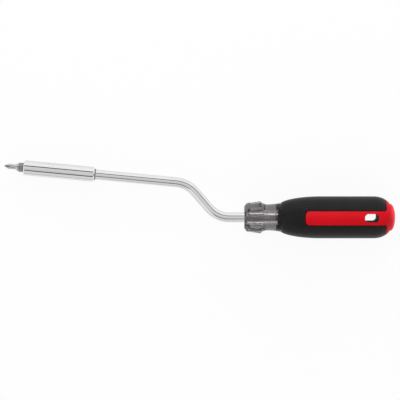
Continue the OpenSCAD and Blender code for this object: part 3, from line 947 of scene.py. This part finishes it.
class SCENE_OT_screwdriver_stage(bpy.types.Operator):
    """Lay the pale floor, hang the soft lights and set the camera over the tool"""

    bl_idname = "scene.screwdriver_stage"
    bl_label = "Stage"

    def execute(self, context):
        context.scene.view_settings.view_transform = "Standard"
        self.floor()
        self.world(context)
        self.camera(context)
        for lamp in LAMPS:
            self.light(context, *lamp)
        return {"FINISHED"}

    @staticmethod
    def camera(context):
        """Looks down on the tool, square to the plane of its bends apart from the tilt."""
        view = context.scene.screwdriver_stage
        laid = lay_down()
        turn = laid.to_3x3()
        target = laid @ Vector((view.centre_x, view.centre_y, 0))
        back = turn @ Vector((0, math.sin(view.tilt), math.cos(view.tilt)))
        up = turn @ Vector((0, math.cos(view.tilt), -math.sin(view.tilt)))
        right = turn @ Vector((1, 0, 0))
        lens = bpy.data.cameras.new("camera")
        lens.sensor_width = SENSOR_WIDTH
        lens.lens = SENSOR_WIDTH * view.distance / view.width
        lens.clip_end = VIEW_DEPTH
        camera = bpy.data.objects.new("camera", lens)
        basis = Matrix((right, up, back)).transposed().to_4x4()
        camera.matrix_world = Matrix.Translation(target + back * view.distance) @ basis
        context.scene.collection.objects.link(camera)
        context.scene.camera = camera

    @staticmethod
    def floor():
        """A grey floor that keeps the tool's shadow, and that the camera sees as near white."""
        bm = bmesh.new()
        bmesh.ops.create_grid(bm, x_segments=4, y_segments=4, size=FLOOR_HALF)
        floor = object_of("floor", bm, Matrix.Identity(4))
        material = bpy.data.materials.new("pale_floor")
        tree = empty_tree(material)
        grey = add_node(tree, "BsdfDiffuse", {"Color": (FLOOR_GREY, FLOOR_GREY, FLOOR_GREY, 1)})
        white = add_node(tree, "Emission", {"Color": (1, 1, 1, 1), "Strength": 1.0})
        path = add_node(tree, "LightPath").outputs
        shares = [
            add_node(tree, "Math", {0: path[ray], 1: share}, operation="MULTIPLY").outputs[0]
            for ray, share in FLOOR_WHITE
        ]
        most = shares[0]
        for share in shares[1:]:
            most = add_node(tree, "Math", {0: most, 1: share}, operation="MAXIMUM").outputs[0]
        shaders = {"Fac": most, 1: grey.outputs["BSDF"], 2: white.outputs["Emission"]}
        mix = add_node(tree, "MixShader", shaders)
        add_node(tree, "OutputMaterial", {"Surface": mix.outputs["Shader"]})
        floor.data.materials.append(material)

    @staticmethod
    def world(context):
        """A pale studio whose two dark seams run along the tool, over it and past its sides."""
        world = bpy.data.worlds.new("studio")
        context.scene.world = world
        tree = empty_tree(world)
        _, roll = resting()
        place = add_node(tree, "TexCoord").outputs["Generated"]
        rolled = {"Vector": place, "Rotation": (roll, 0, 0)}
        turned = add_node(tree, "Mapping", rolled, vector_type="VECTOR").outputs["Vector"]
        split = add_node(tree, "SeparateXYZ", {"Vector": turned}).outputs
        across = add_node(tree, "Math", {0: split["Y"], 1: split["Z"]}, operation="ARCTAN2").outputs[0]
        whole_turn = {"Value": across, "From Min": -math.pi, "From Max": math.pi}
        share = add_node(tree, "MapRange", whole_turn).outputs["Result"]

        def greys(bands):
            """The studio's greys round the tool, as one colour ramp."""
            ramp = add_node(tree, "ValToRGB", {"Fac": share})
            elements = ramp.color_ramp.elements
            shares = [(degrees + 180) / 360 for degrees, _ in bands]
            for position in shares[2:]:
                elements.new(position)
            for element, position, (_, grey) in zip(elements, shares, bands):
                element.position = position
                element.color = (grey, grey, grey, 1)
            return ramp.outputs["Color"]

        leaning = {"Value": split["X"], "From Min": SIDE_FROM, "From Max": SIDE_FULL}
        beside = add_node(tree, "MapRange", leaning).outputs["Result"]
        blended = {"Factor": beside, "A": greys(SEAM_BANDS), "B": greys(SIDE_BANDS)}
        both = add_node(tree, "Mix", blended, data_type="RGBA").outputs["Result"]
        sky = add_node(tree, "Background", {"Color": both, "Strength": 1.0})
        white = add_node(tree, "Background", {"Color": (1, 1, 1, 1)})
        seen = add_node(tree, "LightPath").outputs["Is Camera Ray"]
        shaders = {"Fac": seen, 1: sky.outputs["Background"], 2: white.outputs["Background"]}
        mix = add_node(tree, "MixShader", shaders)
        add_node(tree, "OutputWorld", {"Surface": mix.outputs["Shader"]})

    @staticmethod
    def light(context, name, place, aim, length, height, watts, through):
        """A soft lamp that no metal mirrors; the clear plastic shows it only where `through` says so."""
        lamp = bpy.data.lights.new(name, "AREA")
        lamp.shape = "ELLIPSE" if length == height else "RECTANGLE"
        lamp.size = length
        lamp.size_y = height
        lamp.energy = watts
        hung = bpy.data.objects.new(name, lamp)
        way = Vector(aim) - Vector(place)
        turn = way.to_track_quat("-Z", "Y").to_matrix().to_4x4()
        hung.matrix_world = Matrix.Translation(place) @ turn
        hung.visible_glossy = False
        hung.visible_transmission = through
        context.scene.collection.objects.link(hung)


class VIEW3D_PT_screwdriver(bpy.types.Panel):
    """Lists the screwdriver's sizes and colours, and the operators that make its pieces"""

    bl_label = "Screwdriver"
    bl_space_type = "VIEW_3D"
    bl_region_type = "UI"
    bl_category = "Screwdriver"

    def draw(self, context):
        for operator in OPERATORS:
            self.layout.operator(operator.bl_idname)
        for name, group in GROUPS.items():
            box = self.layout.box()
            for setting in group.__annotations__:
                box.prop(getattr(context.scene, name), setting)


OPERATORS = (
    MESH_OT_screwdriver_rod,
    MESH_OT_screwdriver_sleeve,
    MESH_OT_screwdriver_core,
    MESH_OT_screwdriver_grip,
    MESH_OT_screwdriver_strips,
    MESH_OT_screwdriver_cap,
    MESH_OT_screwdriver_steel,
    SCENE_OT_screwdriver_stage,
)
GROUPS = {
    "screwdriver_rod": ScrewdriverRod,
    "screwdriver_sleeve": ScrewdriverSleeve,
    "screwdriver_handle": ScrewdriverHandle,
    "screwdriver_finish": ScrewdriverFinish,
    "screwdriver_stage": ScrewdriverStage,
}


def register():
    for group in GROUPS.values():
        bpy.utils.register_class(group)
    for name, group in GROUPS.items():
        setattr(bpy.types.Scene, name, bpy.props.PointerProperty(type=group))
    for operator in OPERATORS:
        bpy.utils.register_class(operator)
    bpy.utils.register_class(VIEW3D_PT_screwdriver)


def unregister():
    bpy.utils.unregister_class(VIEW3D_PT_screwdriver)
    for operator in reversed(OPERATORS):
        bpy.utils.unregister_class(operator)
    for name in GROUPS:
        delattr(bpy.types.Scene, name)
    for group in reversed(GROUPS.values()):
        bpy.utils.unregister_class(group)


def main():
    register()
    bpy.ops.mesh.screwdriver_rod()
    bpy.ops.mesh.screwdriver_sleeve()
    bpy.ops.mesh.screwdriver_core()
    bpy.ops.mesh.screwdriver_grip()
    bpy.ops.mesh.screwdriver_strips()
    bpy.ops.mesh.screwdriver_cap()
    bpy.ops.mesh.screwdriver_steel()
    bpy.ops.scene.screwdriver_stage()


if __name__ == "__main__":
    main()
